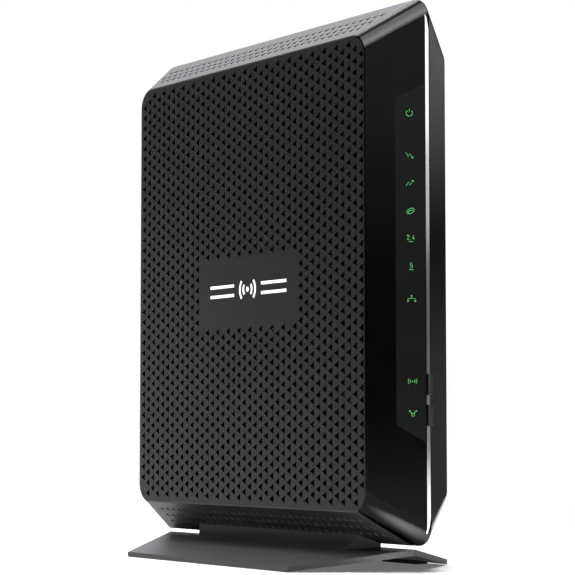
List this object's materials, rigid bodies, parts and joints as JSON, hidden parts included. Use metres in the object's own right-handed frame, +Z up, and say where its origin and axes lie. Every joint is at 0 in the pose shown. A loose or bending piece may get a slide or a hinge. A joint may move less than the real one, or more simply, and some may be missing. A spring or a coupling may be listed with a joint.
{
  "type": "cable modem",
  "caption": "Upright cable modem and router with perforated sides, gloss front spine, indicator window and rear ports, standing on a splayed plate foot.",
  "frame": {"origin": "middle of the footprint, on the surface that the pads rest on", "axes": "+Z up, the front spine with the indicators faces -Y, ports face +Y, the indicator window is on the -X side of the spine"},
  "size_m": [0.0876, 0.21, 0.2448],
  "materials": {
    "shell_black": "fine matte texture",
    "cover_black": "satin moulded",
    "gloss_black": "high gloss",
    "bright_trim": "bright plated",
    "smoked_window": "smoked, glossy",
    "clear_plastic": "clear",
    "button_grey": "satin",
    "control_black": "satin",
    "switch_black": "matte",
    "led_white": "clear resin on white",
    "board_green": "solder mask",
    "steel_screw": "zinc plated",
    "chassis_black": "matte",
    "chip_black": "matte resin",
    "shield_tin": "tin plated",
    "thermal_grey": "soft",
    "sink_aluminium": "extruded",
    "antenna_board": "printed board",
    "lead_grey": "extruded sheath",
    "gold_contact": "gold plated",
    "panel_black": "matte",
    "jack_black": "satin",
    "usb_metal": "nickel plated",
    "usb_tongue_black": "satin",
    "coax_metal": "nickel plated",
    "insulator_white": "nylon",
    "capacitor_sleeve": "sleeved can",
    "stand_grey": "fine matte texture",
    "foot_rubber": "matte"
  },
  "bodies": {
    "housing": {"left_shell": "shell_black", "right_shell": "shell_black", "left_side_cover": "cover_black", "right_side_cover": "cover_black", "left_front_bezel": "gloss_black", "right_front_bezel": "gloss_black", "trim_strip": "bright_trim", "led_window": "smoked_window", "light_guide": "clear_plastic", "wifi_switch": "switch_black", "wps_switch": "switch_black", "reset_switch": "switch_black", "power_switch": "switch_black", "status_leds": "led_white", "main_board": "board_green", "board_screws": "steel_screw", "case_screws": "steel_screw", "stand_screws": "steel_screw", "inner_chassis": "chassis_black", "modem_chip": "chip_black", "router_chip": "chip_black", "memory_chips": "chip_black", "radio_chips": "chip_black", "radio_shields": "shield_tin", "tuner_shield": "shield_tin", "thermal_pads": "thermal_grey", "modem_heat_sink": "sink_aluminium", "router_heat_sink": "sink_aluminium", "antennas": "antenna_board", "antenna_leads": "lead_grey", "antenna_sockets": "gold_contact", "ethernet_contacts": "gold_contact", "rear_port_panel": "panel_black", "ethernet_jack_1": "jack_black", "ethernet_jack_2": "jack_black", "ethernet_jack_3": "jack_black", "ethernet_jack_4": "jack_black", "dc_jack": "jack_black", "ethernet_transformers": "jack_black", "inductors": "jack_black", "usb_port": "usb_metal", "dc_pin": "usb_metal", "usb_tongue": "usb_tongue_black", "coax_connector": "coax_metal", "coax_nut": "coax_metal", "coax_insulator": "insulator_white", "capacitors": "capacitor_sleeve", "stand": "stand_grey", "rubber_feet": "foot_rubber"},
    "wifi_button": {"wifi_button": "button_grey", "wifi_plunger": "control_black"},
    "wps_button": {"wps_button": "button_grey", "wps_plunger": "control_black"},
    "power_button": {"power_button": "control_black"},
    "reset_button": {"reset_button": "control_black"}
  },
  "joints": [
    {"name": "wifi_button_press", "type": "slide", "parent": "housing", "child": "wifi_button", "axis": [0, 1, 0], "range_m": [0, 0.0007], "stiffness_N_per_m": 900},
    {"name": "wps_button_press", "type": "slide", "parent": "housing", "child": "wps_button", "axis": [0, 1, 0], "range_m": [0, 0.0007], "stiffness_N_per_m": 900},
    {"name": "power_button_latch", "type": "slide", "parent": "housing", "child": "power_button", "axis": [0, 1, 0], "range_m": [0, 0.0025]},
    {"name": "reset_button_press", "type": "slide", "parent": "housing", "child": "reset_button", "axis": [0, -1, 0], "range_m": [0, 0.0005], "stiffness_N_per_m": 900}
  ]
}
